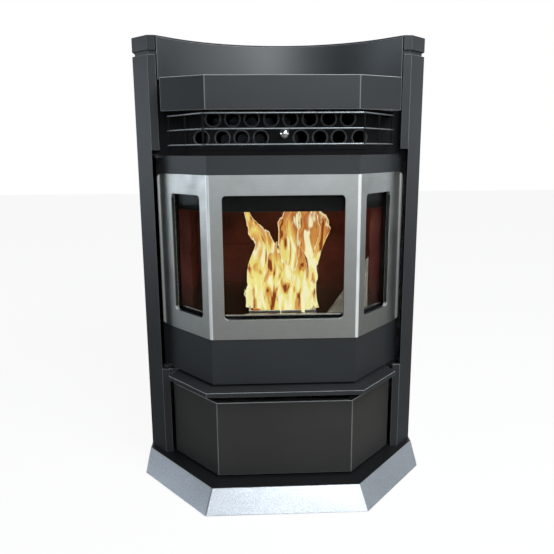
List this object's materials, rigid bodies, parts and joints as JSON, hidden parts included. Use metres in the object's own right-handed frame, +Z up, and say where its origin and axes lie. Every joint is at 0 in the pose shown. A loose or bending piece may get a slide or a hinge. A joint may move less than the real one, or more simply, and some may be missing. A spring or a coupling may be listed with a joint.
{
  "type": "pellet stove",
  "caption": "Freestanding black pellet stove with a bay-shaped glass door, brushed steel door trim, heat exchanger tubes above it and a flared pedestal base.",
  "frame": {"origin": "on the floor, under the middle of the whole stove from front edge to flue end", "axes": "+X to the right as seen from the front, +Y from the door towards the flue, +Z up"},
  "size_m": [0.62, 0.629, 0.946],
  "materials": {
    "black_coat": "satin powder coat",
    "dark_steel": "matt heat-proof paint",
    "pedestal_coat": "hammered silver-grey paint",
    "brushed_steel": "brushed stainless",
    "bright_steel": "polished",
    "galvanised": "zinc coated sheet",
    "firebrick": "rough, speckled",
    "glass": "clear ceramic glass",
    "fibreglass": "woven tape and rope",
    "embers": "glowing charred pellets",
    "black_plastic": "fine texture",
    "red_plastic": "fine texture"
  },
  "bodies": {
    "stove": {"pedestal_base": "pedestal_coat", "side_panel_right": "black_coat", "side_panel_left": "black_coat", "rear_panel": "black_coat", "top_cover": "black_coat", "crown_wall": "black_coat", "hood": "black_coat", "shelf_lip": "black_coat", "hinge_pin_top": "dark_steel", "hinge_pin_bottom": "dark_steel", "firebox_shell": "dark_steel", "air_wash_plate": "dark_steel", "brick_rear": "firebrick", "brick_right": "firebrick", "brick_left": "firebrick", "burn_pot": "brushed_steel", "pellet_bed": "embers", "igniter": "bright_steel", "heat_exchanger": "dark_steel", "exchanger_housing": "dark_steel", "air_grille": "black_coat", "hopper": "galvanised", "hopper_funnel": "galvanised", "hopper_neck": "galvanised", "hopper_guard": "galvanised", "lid_hinge_rod": "bright_steel", "auger_tube": "galvanised", "auger_motor": "dark_steel", "smoke_duct_head": "galvanised", "smoke_duct": "galvanised", "smoke_duct_foot": "galvanised", "exhaust_housing": "dark_steel", "flue_outlet": "dark_steel", "air_inlet": "dark_steel", "air_duct": "galvanised", "fan_housing": "galvanised", "control_panel": "black_plastic", "power_inlet": "black_plastic"},
    "bay_door": {"door_frame": "black_coat", "door_trim": "brushed_steel", "glass_centre": "glass", "glass_left": "glass", "glass_right": "glass", "glass_gasket_centre": "fibreglass", "glass_gasket_left": "fibreglass", "glass_gasket_right": "fibreglass", "door_gasket": "fibreglass"},
    "door_latch": {"door_latch": "dark_steel"},
    "ash_drawer": {"ash_drawer_front": "black_coat", "ash_pan": "galvanised"},
    "hopper_lid": {"hopper_lid": "black_coat"},
    "cleaning_rod": {"cleaning_rod": "bright_steel", "scraper_plate": "dark_steel", "rod_knob": "bright_steel"},
    "auger_screw": {"auger_screw": "bright_steel"},
    "exhaust_impeller": {"exhaust_impeller": "bright_steel"},
    "fan_wheel": {"fan_wheel": "bright_steel"},
    "button_power": {"button_power": "red_plastic"},
    "button_down": {"button_down": "black_plastic"},
    "button_up": {"button_up": "black_plastic"}
  },
  "joints": [
    {"name": "door_hinge", "type": "hinge", "parent": "stove", "child": "bay_door", "pos_m": [-0.25437, -0.12073, 0.475], "axis": [0, 0, -1], "range_deg": [0, 100]},
    {"name": "latch_pivot", "type": "hinge", "parent": "bay_door", "child": "door_latch", "pos_m": [0.2041, -0.15341, 0.2457], "axis": [0, 0, 1], "range_deg": [0, 50]},
    {"name": "drawer_slide", "type": "slide", "parent": "stove", "child": "ash_drawer", "axis": [0, -1, 0], "range_m": [0, 0.25]},
    {"name": "lid_hinge", "type": "hinge", "parent": "stove", "child": "hopper_lid", "pos_m": [0, 0.226, 0.9415], "axis": [-1, 0, 0], "range_deg": [0, 80]},
    {"name": "rod_slide", "type": "slide", "parent": "stove", "child": "cleaning_rod", "axis": [0, -1, 0], "range_m": [0, 0.15]},
    {"name": "auger_spin", "type": "hinge", "parent": "stove", "child": "auger_screw", "pos_m": [0, 0.204, 0.29], "axis": [0, -0.5736, 0.8192], "continuous": true},
    {"name": "impeller_spin", "type": "hinge", "parent": "stove", "child": "exhaust_impeller", "pos_m": [0.17, 0.13, 0.16], "axis": [0, 1, 0], "continuous": true},
    {"name": "fan_spin", "type": "hinge", "parent": "stove", "child": "fan_wheel", "pos_m": [-0.223, 0.155, 0.122], "axis": [1, 0, 0], "continuous": true},
    {"name": "button_power_press", "type": "slide", "parent": "stove", "child": "button_power", "axis": [-1, 0, 0], "range_m": [0, 0.001], "stiffness_N_per_m": 200},
    {"name": "button_down_press", "type": "slide", "parent": "stove", "child": "button_down", "axis": [-1, 0, 0], "range_m": [0, 0.001], "stiffness_N_per_m": 200},
    {"name": "button_up_press", "type": "slide", "parent": "stove", "child": "button_up", "axis": [-1, 0, 0], "range_m": [0, 0.001], "stiffness_N_per_m": 200}
  ]
}
